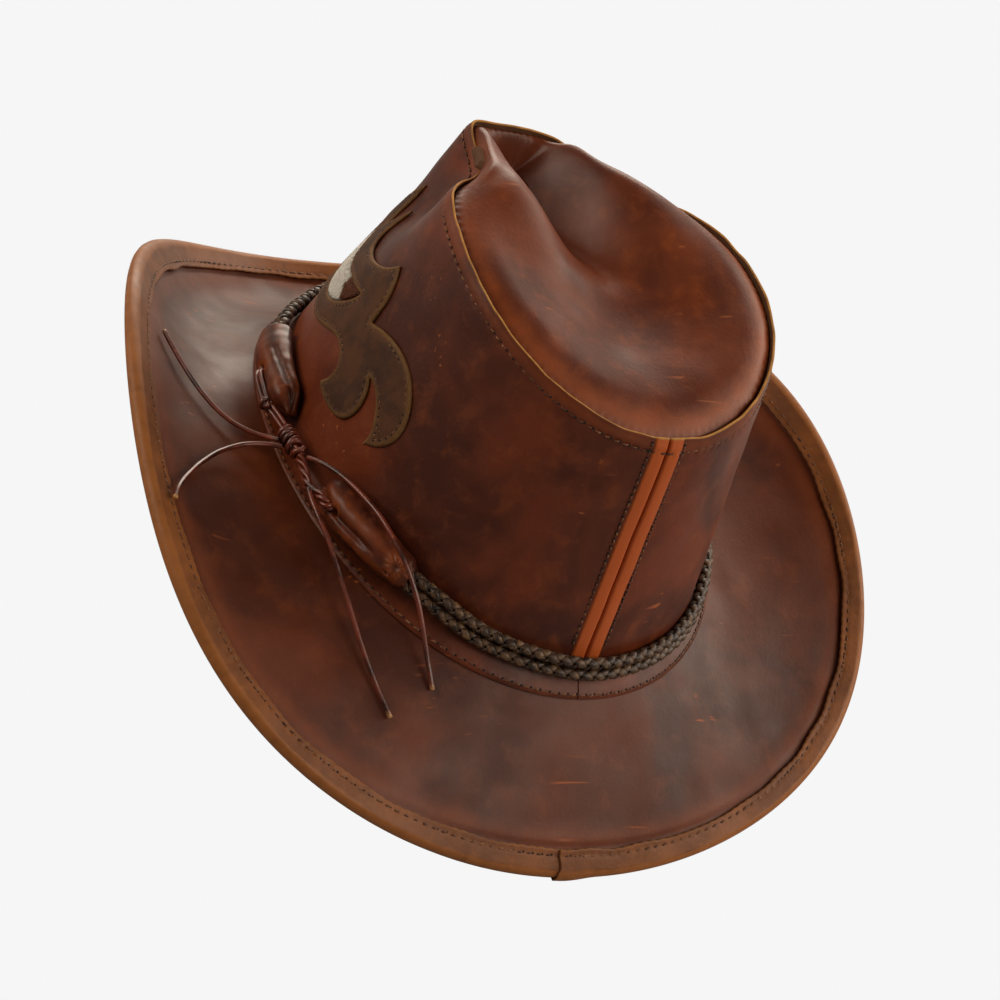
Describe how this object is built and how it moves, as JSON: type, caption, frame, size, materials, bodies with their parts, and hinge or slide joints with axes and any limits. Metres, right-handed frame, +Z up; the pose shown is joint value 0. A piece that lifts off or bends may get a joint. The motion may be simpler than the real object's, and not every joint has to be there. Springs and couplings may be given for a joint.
{
  "type": "leather cowboy hat",
  "caption": "Leather cowboy hat with a creased crown, curled wired brim, braided hatband tied with lace, and a stitched applique on the side of the crown.",
  "frame": {"origin": "middle of the head opening, level with the join of crown and brim", "axes": "+Z up through the crown, the wearer looks along -Y, the wearer's left is +X"},
  "size_m": [0.3244, 0.3259, 0.1841],
  "materials": {
    "crown_leather": "waxed pull-up leather",
    "binding_leather": "distressed, waxed",
    "braid_leather": "braided, worn dark",
    "lace_leather": "round lace, waxed",
    "applique_leather": "distressed, matte",
    "inlay_hide": "hair-on hide, white with red-brown spots",
    "sweatband_leather": "smooth lining leather",
    "thread": "waxed thread",
    "wire": "bare steel"
  },
  "bodies": {
    "root": {"crown_side_panel": "crown_leather", "crown_tip": "crown_leather", "brim_upper": "crown_leather", "brim_lower": "crown_leather", "brim_wire": "wire", "brim_binding": "binding_leather", "sweatband": "sweatband_leather", "thread_tip_seam": "thread", "thread_crown_foot": "thread", "thread_binding": "thread", "thread_back_seam_left": "thread", "thread_back_seam_right": "thread", "hatband_cord_lower": "braid_leather", "hatband_cord_upper": "braid_leather", "front_tab": "crown_leather", "rear_tab": "crown_leather", "lace_knot": "lace_leather", "lace_front": "lace_leather", "lace_rear": "lace_leather", "lace_tail_front_upper": "lace_leather", "lace_tail_front_lower": "lace_leather", "lace_tail_rear_upper": "lace_leather", "lace_tail_rear_lower": "lace_leather", "applique_overlay": "applique_leather", "applique_inlay": "inlay_hide"}
  },
  "joints": []
}
